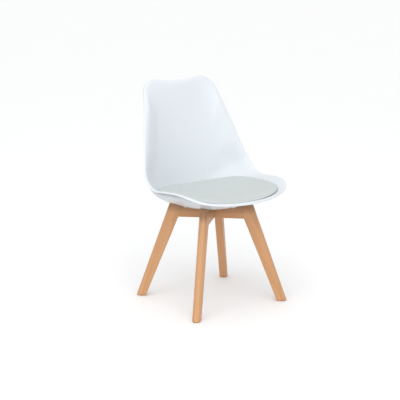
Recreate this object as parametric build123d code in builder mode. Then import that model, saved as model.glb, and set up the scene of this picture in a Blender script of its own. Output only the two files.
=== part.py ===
from build123d import *
import math
import os

import numpy as np
from scipy.interpolate import CubicSpline
from scipy.optimize import brentq

# Dining chair, 503 wide, 482 deep, 821 high. Millimetres, +Z up, the front at -Y, +X the sitter's left.
# The origin is on the floor under the middle of the bounding box.

# ---- bucket seat ------------------------------------------------------------------------------
WALL = 4.0                  # skin of the moulded seat
LIP = 8.0                   # height of the lip around its edge
LIP_WIDTH = 5.0
BOWL = 2.3                  # power of the cross section: 2 is a parabola, higher is flatter in the middle
HALF_SPAN = 260.0           # distance from the middle at which the side profile is given
BOSS_D = 21.0
SEAT_WIDTH = 500.0
SEAT_DEPTH = 490.0
HALF_BLOCK = 290.0          # half width of the block the seat is cut from, away from its edge
BACK_TOP = 811.0            # lip height at the middle of the back
EAR_RISE = 9.0              # the top corners stand this far above the middle

# Side profile: middle line (y, z), then the same station at HALF_SPAN (y, z). Here and in the outlines
# y is counted from the crossing of the rails.
STATIONS = [
    (-285, 398, -279, 440), (-253.5, 419, -247, 455), (-235, 416.5, -229, 462), (-212, 407, -206, 468),
    (-175, 393, -169, 474), (-95, 367.5, -88, 473), (-20, 355.5, -7, 459), (45, 353, 30, 464),
    (95, 359, 57, 483), (130, 377, 71, 506), (158, 415, 78, 524), (171, 465, 80, 534), (180, 510, 82, 543),
    (200, 620, 107, 655), (215, 738, 155, 760), (224.5, 797, 214, 808), (228.5, 824, 240, 832),
    (231, 850, 256, 858),
]
# Left half of the edge seen from above, from the side to the middle of the front.
PLAN_EDGE = [
    (-SEAT_WIDTH / 2 - 2, 82), (-SEAT_WIDTH / 2, -4), (-242, -89), (-221, -171), (-163, -217),
    (-81, -245), (0, -253.5),
]
# Right half of the edge seen from the front, from the side to the middle of the top.
FRONT_EDGE = [
    (SEAT_WIDTH / 2 + 2, 435), (SEAT_WIDTH / 2, 473), (235, 536), (207, 641), (175, 747),
    (153, BACK_TOP - 10.5), (117, BACK_TOP + EAR_RISE), (64, BACK_TOP + 3), (0, BACK_TOP),
]

# ---- wooden base ------------------------------------------------------------------------------
CROSS_Y = 11.0              # the rails cross this far behind the middle
SPREAD = 47.4               # degrees between a rail and the front-to-back line
STOCK = 30.0                # thickness of legs and rails
RAIL_BOTTOM = 318.7
RAIL_GAP = 1.0              # between the seat and the tops of rails and legs, which follow its belly
PAD_TOP = 359.0             # where the seat's bosses stand, in shallow seats in the rails
PAD_PLAY = 0.6
JOINT_R = 124.0             # from the crossing to the joint between rail and leg
HALVING_Z = 338.0           # height at which the lower rail's notch ends
FOOT_IN, FOOT_OUT = 253.1, 289.4
LEG_LEAN = 0.356            # how far the outer edge of a leg leans in for each unit of height
LEG_NOSE = STOCK / 2 - 0.5  # rounding of the outer edge
LEG_EASE = 3.5              # rounding of the inner edge
HALVING_PLAY = 0.2
DOWEL_D, DOWEL_L = 8.0, 30.0
DOWEL_HEIGHTS = (330.0, 348.0)
HOLE_PLAY = 0.1

# ---- fasteners and glides ---------------------------------------------------------------------
BOLT_R = 98.0               # from the crossing to a frame bolt
BOLT_D, BOLT_L = 6.0, 30.0
HEAD_D, HEAD_H = 10.5, 3.3
WASHER_D, WASHER_T = 12.0, 1.6
COUNTERBORE_D, COUNTERBORE_TOP = 13.0, 338.0
INSERT_D, INSERT_L = 9.0, 7.5
GLIDE_D, GLIDE_T = 20.0, 3.0
GLIDE_R = 268.0
NAIL_D, NAIL_L, NAIL_HEAD_D, NAIL_HEAD_T = 2.0, 14.0, 6.0, 0.8
NAIL_TIP = 15.2             # height of the nail's tip; its head's top is at NAIL_TIP - NAIL_L

# ---- seat cushion -----------------------------------------------------------------------------
COVER_T = 1.2
BOARD_T = 4.0
BOARD_GAP = 0.8             # room for the staples between the seat and the turned-in cover
CUSHION_W, CUSHION_L = 434.0, 377.0
# Right half of the cushion's outline seen from above, from the front to the rear.
CUSHION_EDGE = [
    (0, -226), (72, -221), (128, -208), (171, -183), (196, -142), (209, -95), (215, -47), (CUSHION_W / 2, 0),
    (208, 42), (186, 80), (150, 112), (100, 136), (50, 148), (0, CUSHION_L - 226),
]
EDGE_Z = 427.5              # top of the cushion's edge at the front
EDGE_RISE = 19.5            # and how much higher it is at the sides
CORNER_RISE = 30.0          # lifts the front corners, which lie higher on the seat
CROWN = 10.0                # height of the middle over the edge
ROLL = 4.0                  # drop of the rounded edge
BOARD_INSET = 14.0
TURN_IN = 18.0              # how far in the cover reaches under the board
CLIP_SPOTS = [(0, 158), (0, 392), (-125, 290), (125, 290)]       # x, distance along the middle line
CLIP_D, CLIP_HEAD_D, CLIP_HEAD_T, CLIP_GRIP, CLIP_SLACK = 6.0, 12.0, 2.0, 3.0, 0.25
STAPLE_COUNT = 24
STAPLE_W, STAPLE_WIRE, STAPLE_GRIP = 10.0, 0.5, 3.0

profile = np.array(STATIONS, float)
run = np.concatenate([[0.0], np.cumsum(np.linalg.norm(np.diff(profile[:, :2], axis=0), axis=1))])
spline = CubicSpline(run, profile, bc_type="natural")


def seat_point(t, x, level=0.0):
    """Point of the seat's form at distance t along the middle line and x to the side, raised by level."""

    def raw(t, x):
        middle_y, middle_z, side_y, side_z = spline(t)
        share = (abs(x) / HALF_SPAN) ** BOWL
        y = CROSS_Y + middle_y + (side_y - middle_y) * share
        return np.array([x, y, middle_z + (side_z - middle_z) * share])

    if not level:
        return raw(t, x)
    across = raw(t, x + 0.5) - raw(t, x - 0.5)
    along = raw(t + 0.5, x) - raw(t - 0.5, x)
    normal = np.cross(across, along)
    return raw(t, x) + level * normal / np.linalg.norm(normal)


def sheet(level, t_from=0.0, t_to=run[-1], half=HALF_BLOCK - 12, rows=44, columns=25):
    """The seat's form as one face, raised by level."""
    return Face.make_surface_from_array_of_points(
        [
            [Vector(*seat_point(t, x, level)) for x in np.linspace(-half, half, columns)]
            for t in np.linspace(t_from, t_to, rows)
        ],
        tol=0.02,
    )


def behind(level, depth, t_from=0.0, t_to=run[-1]):
    """Solid that reaches from the form at this level backwards and down, away from the sitter."""
    return extrude(sheet(level, t_from, t_to), amount=depth, dir=(0, 0.6, -0.8), mode=Mode.PRIVATE)


def mirrored(points):
    """The points in order, then their mirror images in reverse, without a doubled middle point."""
    return points + [(-x, y) for x, y in reversed(points) if x]


def edge_curve(points, inset, closed=False):
    """Smooth curve through the mirrored points, moved to its left by inset."""
    curve = Spline(*mirrored(points), periodic=closed, mode=Mode.PRIVATE)
    moved = [curve @ t + (curve % t).rotate(Axis.Z, 90) * inset for t in np.linspace(0, 1, 49)]
    return Spline(*moved[: -1 if closed else None], periodic=closed)


def outline_block(inset):
    """Block with the seat's edge as its outline from above and from the front, all of it moved in by inset."""
    with BuildPart() as block:
        with BuildSketch(Plane((0, CROSS_Y, 300))):
            with BuildLine():
                edge = edge_curve(PLAN_EDGE, inset)
                sides = (HALF_BLOCK, 150), (HALF_BLOCK, 330), (-HALF_BLOCK, 330), (-HALF_BLOCK, 150)
                Polyline(edge @ 1, *sides, edge @ 0)
            make_face()
        extrude(amount=600)
        with BuildSketch(Plane.XZ.offset(-SEAT_DEPTH)):
            with BuildLine():
                edge = edge_curve(FRONT_EDGE, inset)
                sides = (-HALF_BLOCK, 390), (-HALF_BLOCK, 310), (HALF_BLOCK, 310), (HALF_BLOCK, 390)
                Polyline(edge @ 1, *sides, edge @ 0)
            make_face()
        extrude(amount=2 * SEAT_DEPTH, mode=Mode.INTERSECT)
    return block.part


def spoke(side_x, side_y, r):
    """Point at distance r from the crossing, along the rail that runs to this corner."""
    angle = math.radians(SPREAD)
    return (side_x * r * math.sin(angle), CROSS_Y + side_y * r * math.cos(angle))


def spoke_plane(side_x, side_y):
    """Upright plane through the crossing: local x runs out to this corner, local y is the height."""
    x, y = spoke(side_x, side_y, 1.0)
    outward = Vector(x, y - CROSS_Y, 0)
    return Plane(origin=(0, CROSS_Y, 0), x_dir=outward, z_dir=outward.cross(Vector(0, 0, 1)))


def save(builder, name):
    """Label the piece and write it to parts/."""
    builder.part.label = name
    export_step(builder.part, f"parts/{name}.step")


def height_at(x, y, level):
    """Height of the seat's form at this level over a point of the plan."""
    side = x
    for _ in range(4):
        t = brentq(lambda t: seat_point(t, side, level)[1] - y, 5, 560)
        point = seat_point(t, side, level)
        side += x - point[0]
    return point[2]


def wood_top(corner, r):
    """Height that keeps a rail or leg clear of the seat at distance r towards this corner."""
    x, y = spoke(*corner, r)
    across = spoke_plane(*corner).z_dir * (STOCK / 2)
    heights = [height_at(x + k * across.X, y + k * across.Y, LIP - WALL) for k in (-1, 0, 1)]
    return min(heights) - RAIL_GAP


def dowel_planes(corner):
    """Planes of the two dowels at this corner's joint, facing outwards."""
    x, y = spoke(*corner, JOINT_R)
    return [Plane((x, y, z), z_dir=(x, y - CROSS_Y, 0)) for z in DOWEL_HEIGHTS]


def normal_plane(t, x, level, along):
    """Plane on the seat's form at this level, facing the sitter, with its local x near the given direction."""
    low, high = Vector(*seat_point(t, x, level)), Vector(*seat_point(t, x, level + 1))
    normal = high - low
    return Plane(low, x_dir=along - normal * normal.dot(along), z_dir=normal)


def cushion_top(x, y, drop):
    """Height of the cushion's top, lowered by drop."""
    across, along = abs(2 * x / CUSHION_W), (y + 226) / CUSHION_L * 2 - 1
    power = 3.0 if along < 0 else 2.4
    out = (across**power + abs(along) ** power) ** (1 / power)
    edge = EDGE_Z + EDGE_RISE * across**2 + CORNER_RISE * (across * max(-along, 0)) ** 3
    return edge + CROWN * (1 - out**2) - ROLL * min(out, 1.1) ** 12 - drop


def cushion_layer(inset, low, high=None, drop=0.0):
    """Solid inside the cushion's outline, from one level of the seat's form up to another or to the top."""
    if high:
        upper = sheet(high, 0, 560)
    else:
        upper = Face.make_surface_from_array_of_points(
            [
                [Vector(x, y + CROSS_Y, cushion_top(x, y, drop)) for x in np.linspace(-232, 232, 33)]
                for y in np.linspace(-240, 166, 31)
            ],
            tol=0.02,
        )
    with BuildPart() as layer:
        with BuildSketch(Plane((0, CROSS_Y, 330))):
            with BuildLine():
                edge_curve(CUSHION_EDGE, inset, closed=True)
            make_face()
        extrude(amount=130)
        extrude(sheet(low, 0, 560), amount=150, dir=(0, 0, -1), mode=Mode.SUBTRACT)
        extrude(upper, amount=150, dir=(0, 0, 1), mode=Mode.SUBTRACT)
    return layer.part


CORNERS = {"front_left": (1, -1), "front_right": (-1, -1), "rear_left": (1, 1), "rear_right": (-1, 1)}
LOW = (Align.CENTER, Align.CENTER, Align.MIN)
HIGH = (Align.CENTER, Align.CENTER, Align.MAX)
os.makedirs("parts", exist_ok=True)

# ---- bucket seat ------------------------------------------------------------------------------
clip_planes = [normal_plane(t, x, LIP - WALL, Vector(1, 0, 0)) for x, t in CLIP_SPOTS]

with BuildPart() as hollow:
    add(outline_block(LIP_WIDTH))
    add(behind(LIP - WALL, 24), mode=Mode.INTERSECT)

with BuildPart() as bosses:
    for corner in CORNERS.values():
        with Locations((*spoke(*corner, BOLT_R), PAD_TOP)):
            Cylinder(BOSS_D / 2, 40, align=LOW)
    extrude(sheet(LIP - WALL / 2, 150, 460), amount=60, dir=(0, 0, 1), mode=Mode.SUBTRACT)

with BuildPart() as seat_shell:
    add(outline_block(0))
    add(behind(LIP, 30), mode=Mode.INTERSECT)
    add(behind(0, 45), mode=Mode.SUBTRACT)
    add(hollow.part, mode=Mode.SUBTRACT)
    add(bosses.part)
    for corner in CORNERS.values():
        with Locations((*spoke(*corner, BOLT_R), PAD_TOP)):
            Cylinder(INSERT_D / 2, INSERT_L, align=LOW, mode=Mode.SUBTRACT)
    with Locations(*clip_planes):
        Cylinder((CLIP_D + HOLE_PLAY) / 2, 4 * WALL, mode=Mode.SUBTRACT)
save(seat_shell, "seat_shell")

with BuildPart() as threaded_inserts:
    for corner in CORNERS.values():
        with Locations((*spoke(*corner, BOLT_R), PAD_TOP)):
            Cylinder((INSERT_D - HOLE_PLAY) / 2, INSERT_L, align=LOW)
            Cylinder((BOLT_D + HOLE_PLAY) / 2, INSERT_L, align=LOW, mode=Mode.SUBTRACT)
save(threaded_inserts, "threaded_inserts")

# ---- wooden base ------------------------------------------------------------------------------
for name, side, notch in (
    ("cross_rail_lower", 1, (HALVING_Z, 380)),
    ("cross_rail_upper", -1, (300, HALVING_Z)),
):
    plane, other = spoke_plane(side, -1), spoke_plane(-side, -1)
    front, rear = (side, -1), (-side, 1)
    reaches = np.linspace(0, JOINT_R, 7)
    crown = [(-r, wood_top(rear, r)) for r in reaches[:0:-1]] + [(r, wood_top(front, r)) for r in reaches]
    with BuildPart() as rail:
        with BuildSketch(plane):
            with BuildLine():
                Spline(*crown)
                Polyline(crown[-1], (JOINT_R, RAIL_BOTTOM), (-JOINT_R, RAIL_BOTTOM), crown[0])
            make_face()
        extrude(amount=STOCK / 2, both=True)
        fillet(rail.edges().filter_by(Axis((0, 0, 0), plane.x_dir)).group_by(Axis.Z)[0], LEG_EASE)
        with BuildSketch(other):
            with Locations((0, sum(notch) / 2)):
                Rectangle(4 * STOCK, notch[1] - notch[0])
        extrude(amount=(STOCK + HALVING_PLAY) / 2, both=True, mode=Mode.SUBTRACT)
        for end in (-1, 1):
            with Locations((*spoke(side * -end, end, BOLT_R), RAIL_BOTTOM)):
                Cylinder(BOLT_D / 2 + 0.5, 60, align=LOW, mode=Mode.SUBTRACT)
                with Locations((0, 0, PAD_TOP - RAIL_BOTTOM)):
                    Cylinder((BOSS_D + PAD_PLAY) / 2, 60, align=LOW, mode=Mode.SUBTRACT)
                Cylinder(COUNTERBORE_D / 2, COUNTERBORE_TOP - RAIL_BOTTOM, align=LOW, mode=Mode.SUBTRACT)
            with BuildSketch(*dowel_planes((side * -end, end))):
                Circle((DOWEL_D + HOLE_PLAY) / 2)
            extrude(amount=-DOWEL_L / 2, mode=Mode.SUBTRACT)
    save(rail, name)

for name, corner in CORNERS.items():
    plane = spoke_plane(*corner)
    shoulder = JOINT_R + STOCK
    for _ in range(4):
        shoulder = FOOT_OUT - LEG_LEAN * wood_top(corner, shoulder)
    inner = [(JOINT_R, RAIL_BOTTOM), (FOOT_IN, 0)]
    outer = [(FOOT_OUT, 0), (shoulder, wood_top(corner, shoulder))]
    with BuildPart() as leg:
        with BuildSketch(plane):
            Polygon(*inner, *outer, (JOINT_R, wood_top(corner, JOINT_R)), align=None)
        extrude(amount=STOCK / 2, both=True)
        for line, radius in ((outer, LEG_NOSE), (inner, LEG_EASE)):
            direction = plane.from_local_coords(line[1]) - plane.from_local_coords(line[0])
            fillet(leg.edges().filter_by(Axis((0, 0, 0), direction)), radius)
        with Locations((*spoke(*corner, GLIDE_R), 0)):
            Box(120, 120, GLIDE_T, align=LOW, mode=Mode.SUBTRACT)
            Cylinder((NAIL_D + HOLE_PLAY) / 2, NAIL_TIP + 0.2, align=LOW, mode=Mode.SUBTRACT)
        with BuildSketch(*dowel_planes(corner)):
            Circle((DOWEL_D + HOLE_PLAY) / 2)
        extrude(amount=DOWEL_L / 2, mode=Mode.SUBTRACT)
    save(leg, f"{name}_leg")

    with BuildPart() as glide:
        with Locations((*spoke(*corner, GLIDE_R), 0)):
            Cylinder(GLIDE_D / 2, GLIDE_T, align=LOW)
            Cylinder((NAIL_D + HOLE_PLAY) / 2, GLIDE_T, align=LOW, mode=Mode.SUBTRACT)
            Cylinder(NAIL_HEAD_D / 2 + 0.5, NAIL_TIP - NAIL_L, align=LOW, mode=Mode.SUBTRACT)
        fillet(glide.faces().sort_by(Axis.Z)[0].outer_wire().edges(), 0.6)
    save(glide, f"{name}_glide")

with BuildPart() as leg_dowels:
    for corner in CORNERS.values():
        with BuildSketch(*dowel_planes(corner)):
            Circle(DOWEL_D / 2)
        extrude(amount=DOWEL_L / 2 - 0.1, both=True)
    chamfer(leg_dowels.edges().filter_by(GeomType.CIRCLE), 0.8)
save(leg_dowels, "leg_dowels")

with BuildPart() as glide_nails:
    for corner in CORNERS.values():
        with Locations((*spoke(*corner, GLIDE_R), NAIL_TIP - NAIL_L)):
            Cylinder(NAIL_D / 2, NAIL_L, align=LOW)
            Cylinder(NAIL_HEAD_D / 2, NAIL_HEAD_T, align=HIGH)
save(glide_nails, "glide_nails")

# ---- frame bolts ------------------------------------------------------------------------------
with BuildPart() as bolt_washers:
    for corner in CORNERS.values():
        with Locations((*spoke(*corner, BOLT_R), COUNTERBORE_TOP)):
            Cylinder(WASHER_D / 2, WASHER_T, align=HIGH)
            Cylinder(BOLT_D / 2 + 0.25, WASHER_T, align=HIGH, mode=Mode.SUBTRACT)
save(bolt_washers, "bolt_washers")

with BuildPart() as frame_bolts:
    for corner in CORNERS.values():
        with Locations((*spoke(*corner, BOLT_R), COUNTERBORE_TOP - WASHER_T)):
            Cylinder(BOLT_D / 2, BOLT_L, align=LOW)
            Cylinder(HEAD_D / 2, HEAD_H, align=HIGH)
    under = frame_bolts.faces().filter_by(Axis.Z).group_by(Axis.Z)[0]
    fillet(under.edges(), 2.2)
    with BuildSketch(Plane.XY.offset(COUNTERBORE_TOP - WASHER_T - HEAD_H)):
        with Locations(*[spoke(*corner, BOLT_R) for corner in CORNERS.values()]):
            RegularPolygon(2, 6, major_radius=False)
    extrude(amount=2.2, mode=Mode.SUBTRACT)
save(frame_bolts, "frame_bolts")

# ---- seat cushion -----------------------------------------------------------------------------
FOLD = LIP + BOARD_GAP              # level of the cover's underside
BOARD = FOLD + COVER_T              # level of the board's underside

with BuildLine() as fold_line:
    fold_edge = edge_curve(CUSHION_EDGE, BOARD_INSET + TURN_IN / 2, closed=True)
staple_planes = []
for share in np.arange(STAPLE_COUNT) / STAPLE_COUNT:
    spot, heading = fold_edge @ share, fold_edge % share
    t = brentq(lambda t: seat_point(t, spot.X, BOARD)[1] - CROSS_Y - spot.Y, 5, 560)
    staple_planes.append(normal_plane(t, spot.X, BOARD, heading))

with BuildPart() as cover_staples:
    with Locations(*staple_planes):
        with Locations((0, 0, -COVER_T)):
            Box(STAPLE_W, 2 * STAPLE_WIRE, STAPLE_WIRE, align=HIGH)
        with Locations(*[(end * (STAPLE_W - STAPLE_WIRE) / 2, 0, -COVER_T) for end in (1, -1)]):
            Box(STAPLE_WIRE, 2 * STAPLE_WIRE, COVER_T + STAPLE_GRIP, align=LOW)
save(cover_staples, "cover_staples")

with BuildPart() as cushion_clips:
    with Locations(*clip_planes):
        Cylinder(CLIP_D / 2, BOARD + CLIP_GRIP - LIP + WALL - 0.1, align=LOW)
        with Locations((0, 0, -CLIP_SLACK)):
            Cylinder(CLIP_HEAD_D / 2, CLIP_HEAD_T, align=HIGH)
        Cylinder(CLIP_D / 2, CLIP_SLACK, align=HIGH)
save(cushion_clips, "cushion_clips")

with BuildPart() as cushion_board:
    add(cushion_layer(BOARD_INSET, BOARD, BOARD + BOARD_T))
    with Locations(*clip_planes):
        Cylinder((CLIP_D + HOLE_PLAY) / 2, BOARD + CLIP_GRIP - LIP + WALL, align=LOW, mode=Mode.SUBTRACT)
    add(cover_staples.part, mode=Mode.SUBTRACT)
save(cushion_board, "cushion_board")

filling = cushion_layer(COVER_T, BOARD, drop=COVER_T)
with BuildPart() as cushion_foam:
    add(filling)
    add(cushion_layer(BOARD_INSET, BOARD - 1, BOARD + BOARD_T), mode=Mode.SUBTRACT)
save(cushion_foam, "cushion_foam")

with BuildPart() as cushion_cover:
    add(cushion_layer(0, FOLD))
    add(filling, mode=Mode.SUBTRACT)
    add(cushion_layer(BOARD_INSET + TURN_IN, FOLD - 1, BOARD + 0.5), mode=Mode.SUBTRACT)
    add(cover_staples.part, mode=Mode.SUBTRACT)
save(cushion_cover, "cushion_cover")
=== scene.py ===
"""Looks of a bucket-seat dining chair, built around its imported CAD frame.

The moulded seat is a smooth closed shell with a rolled edge, the pad is swelled by a cloth simulation, and every
other CAD piece keeps its shape and gets its own finish. SeatForm, MouldedSeat and SeatPad work in millimetres and
scale their points by MM at the end. Everything else is in metres.
"""

import logging
import math
from dataclasses import dataclass, field
from enum import Enum
from typing import Callable, Iterable, Sequence

import bmesh
import bpy
import numpy as np
from mathutils import Matrix, Vector


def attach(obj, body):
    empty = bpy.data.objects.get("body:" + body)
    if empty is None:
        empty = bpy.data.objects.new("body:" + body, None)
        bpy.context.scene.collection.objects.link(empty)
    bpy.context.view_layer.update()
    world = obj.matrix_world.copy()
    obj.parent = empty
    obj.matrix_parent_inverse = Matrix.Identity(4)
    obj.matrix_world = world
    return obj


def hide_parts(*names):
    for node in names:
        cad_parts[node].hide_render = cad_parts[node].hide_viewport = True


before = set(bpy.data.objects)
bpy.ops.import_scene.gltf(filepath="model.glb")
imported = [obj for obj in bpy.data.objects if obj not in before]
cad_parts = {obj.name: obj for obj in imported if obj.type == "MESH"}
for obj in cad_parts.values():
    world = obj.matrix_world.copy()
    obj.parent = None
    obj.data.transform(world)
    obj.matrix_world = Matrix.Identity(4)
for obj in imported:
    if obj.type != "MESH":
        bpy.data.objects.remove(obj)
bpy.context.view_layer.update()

MM = 0.001
ROOT = "root"
VECTOR, NUMBER, COLOUR = "NodeSocketVector", "NodeSocketFloat", "NodeSocketColor"
GEOMETRY, WHOLE = "NodeSocketGeometry", "NodeSocketInt"
Colour = tuple[float, float, float]
Socket = bpy.types.NodeSocket
Given = bpy.types.bpy_prop_collection

log = logging.getLogger("chair")


# ---- node helpers ---------------------------------------------------------------------------------


class Graph:
    """A node tree with short ways to add nodes and join their sockets."""

    def __init__(self, tree: bpy.types.NodeTree) -> None:
        """Start on a shader or geometry tree."""
        self.tree = tree

    def set(self, node: bpy.types.Node, inputs: dict) -> None:
        """Give a node's inputs their values.

        Args:
            node: the node.
            inputs: socket name or index, with a value to set or an output socket to join.
        """
        for name, value in inputs.items():
            if isinstance(value, Socket):
                self.tree.links.new(value, node.inputs[name])
            else:
                node.inputs[name].default_value = value

    def add(self, kind: str, inputs: dict | None = None, **settings: object) -> bpy.types.Node:
        """Add a node.

        Args:
            kind: the node's type name.
            inputs: what its inputs get, as in set.
            **settings: properties of the node, set before its inputs.

        Returns:
            The new node.
        """
        node = self.tree.nodes.new(kind)
        for name, value in settings.items():
            setattr(node, name, value)
        self.set(node, inputs or {})
        return node

    def math(self, operation: str, *values: object) -> Socket:
        """Return the result of a math node on numbers or sockets."""
        return self.add("ShaderNodeMath", dict(enumerate(values)), operation=operation).outputs[0]

    def vectors(self, operation: str, *values: object) -> Socket:
        """Return the result of a vector math node on vectors or sockets."""
        return self.add("ShaderNodeVectorMath", dict(enumerate(values)), operation=operation).outputs[0]

    def noise(self, place: Socket, scale: object, detail: float, **more: object) -> Socket:
        """Return the value of a noise texture, with more of its inputs by name."""
        inputs = {"Vector": place, "Scale": scale, "Detail": detail, **more}
        return self.add("ShaderNodeTexNoise", inputs).outputs["Fac"]

    def mapped(self, place: Socket, **inputs: object) -> Socket:
        """Return a place scaled or turned by a mapping node's inputs."""
        return self.add("ShaderNodeMapping", {"Vector": place, **inputs}).outputs[0]

    def remap(self, value: Socket, low: float, high: float, out_low: object, out_high: object) -> Socket:
        """Return a value carried from the range low to high onto the range out_low to out_high."""
        return self.add("ShaderNodeMapRange", {0: value, 1: low, 2: high, 3: out_low, 4: out_high}).outputs[0]

    def ramp(self, value: Socket, *stops: tuple[float, float]) -> Socket:
        """Map a value through grey stops.

        Args:
            value: the input socket.
            *stops: pairs of position and grey level.

        Returns:
            The mapped value's socket.
        """
        node = self.add("ShaderNodeValToRGB", {0: value})
        elements = node.color_ramp.elements
        while len(elements) < len(stops):
            elements.new(0.5)
        for element, (position, grey) in zip(elements, stops):
            element.position, element.color = position, (grey, grey, grey, 1.0)
        return node.outputs[0]

    def blend(self, share: object, first: object, second: object) -> Socket:
        """Return the mix of two colours or sockets, the second by a share from 0 to 1."""
        return self.add("ShaderNodeMix", {0: share, 6: first, 7: second}, data_type="RGBA").outputs[2]

    def bump(self, height: Socket, strength: float, distance: float, **more: object) -> Socket:
        """Return the normal of a surface that a height raises."""
        inputs = {"Height": height, "Strength": strength, "Distance": distance, **more}
        return self.add("ShaderNodeBump", inputs).outputs[0]


def rgba(colour: Colour) -> tuple[float, float, float, float]:
    """Return the colour with full alpha."""
    return (*colour, 1.0)


def shader_group(name: str, outputs: Sequence[str], **inputs: object) -> Callable:
    """Turn a function that adds nodes into one that returns its shader group, made at first use.

    Args:
        name: the group's name.
        outputs: names of the outputs. One named Colour is a colour and the rest are numbers.
        **inputs: default of each input besides Vector: a number, or a colour with alpha.

    Returns:
        The decorator.
    """

    def decorate(build: Callable[[Graph, Given], Sequence[Socket]]) -> Callable[[], bpy.types.NodeTree]:
        """Wrap a function that adds nodes.

        Args:
            build: adds the nodes from the group's inputs and returns the sockets of its outputs.

        Returns:
            The function that gives the group.
        """

        def tree() -> bpy.types.NodeTree:
            """Return the group and make it at first use.

            Returns:
                The node group.
            """
            if name in bpy.data.node_groups:
                return bpy.data.node_groups[name]
            made = bpy.data.node_groups.new(name, "ShaderNodeTree")
            made.interface.new_socket("Vector", in_out="INPUT", socket_type=VECTOR)
            for label, default in inputs.items():
                kind = COLOUR if isinstance(default, tuple) else NUMBER
                made.interface.new_socket(label, in_out="INPUT", socket_type=kind).default_value = default
            for label in outputs:
                kind = COLOUR if label == "Colour" else NUMBER
                made.interface.new_socket(label, in_out="OUTPUT", socket_type=kind)
            graph = Graph(made)
            source, sink = graph.add("NodeGroupInput"), graph.add("NodeGroupOutput")
            graph.set(sink, dict(zip(outputs, build(graph, source.outputs))))
            return made

        return tree

    return decorate


@shader_group("soft_mottle", ("Value", "Mask"), Scale=8.0, Low=0.0, High=1.0)
def mottle(graph: Graph, given: Given) -> Sequence[Socket]:
    """Add soft cloudy variation, which every finish uses for gloss and tint.

    Args:
        graph: the group's graph.
        given: the group's inputs.

    Returns:
        The sockets of its outputs.
    """
    clouds = graph.noise(given["Vector"], given["Scale"], 5.0, Roughness=0.6)
    return graph.remap(clouds, 0.3, 0.7, given["Low"], given["High"]), clouds


@shader_group("hairline_scuffs", ("Mask",), Scale=9.0, Amount=0.3)
def scuff(graph: Graph, given: Given) -> Sequence[Socket]:
    """Add hairline scuffs from handling, thin and sparse, in two directions.

    Args:
        graph: the group's graph.
        given: the group's inputs.

    Returns:
        The sockets of its outputs.
    """
    masks = []
    for turn, stretch in ((0.7, (1.0, 14.0, 1.0)), (-1.9, (13.0, 1.0, 2.0))):
        turned = graph.mapped(given["Vector"], Rotation=(0.4, 0.3, turn), Scale=stretch)
        lines = graph.noise(turned, given["Scale"], 2.0)
        masks.append(graph.ramp(lines, (0.0, 0.0), (0.495, 0.0), (0.5, 1.0), (0.505, 0.0)))
    where = graph.ramp(graph.noise(given["Vector"], 7.0, 1.0), (0.48, 0.0), (0.66, 1.0))
    sparse = graph.math("MULTIPLY", graph.math("MAXIMUM", *masks), where)
    return (graph.math("MULTIPLY", sparse, given["Amount"]),)


@shader_group("moulded_skin", ("Height",), Scale=1400.0, Flow=0.5)
def moulded_skin(graph: Graph, given: Given) -> Sequence[Socket]:
    """Add the fine spark-eroded texture that a steel mould leaves on plastic.

    Args:
        graph: the group's graph.
        given: the group's inputs.

    Returns:
        The sockets of its outputs.
    """
    grain = graph.noise(given["Vector"], given["Scale"], 3.0, Roughness=0.7)
    flow = graph.math("MULTIPLY", graph.noise(given["Vector"], 5.0, 1.0), given["Flow"])
    return (graph.math("ADD", grain, flow),)


@shader_group("pebble_grain", ("Height", "Creases"), Scale=620.0)
def pebbles(graph: Graph, given: Given) -> Sequence[Socket]:
    """Add the pebbled grain of leather-cloth: small cells of uneven size with creases between.

    Args:
        graph: the group's graph.
        given: the group's inputs.

    Returns:
        The sockets of its outputs.
    """
    wander = graph.noise(given["Vector"], 140.0, 2.0).node.outputs["Color"]
    place = graph.vectors("ADD", given["Vector"], graph.vectors("MULTIPLY", wander, (0.0035, 0.0035, 0.0035)))
    cells = graph.add(
        "ShaderNodeTexVoronoi", {"Vector": place, "Scale": given["Scale"], "Randomness": 0.95},
        feature="DISTANCE_TO_EDGE",
    ).outputs["Distance"]
    pillows = graph.ramp(cells, (0.0, 0.0), (0.10, 0.62), (0.34, 1.0))
    dust = graph.math("MULTIPLY", graph.noise(given["Vector"], 2600.0, 2.0), 0.22)
    return graph.math("ADD", pillows, dust), graph.ramp(cells, (0.0, 1.0), (0.12, 0.0))


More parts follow.
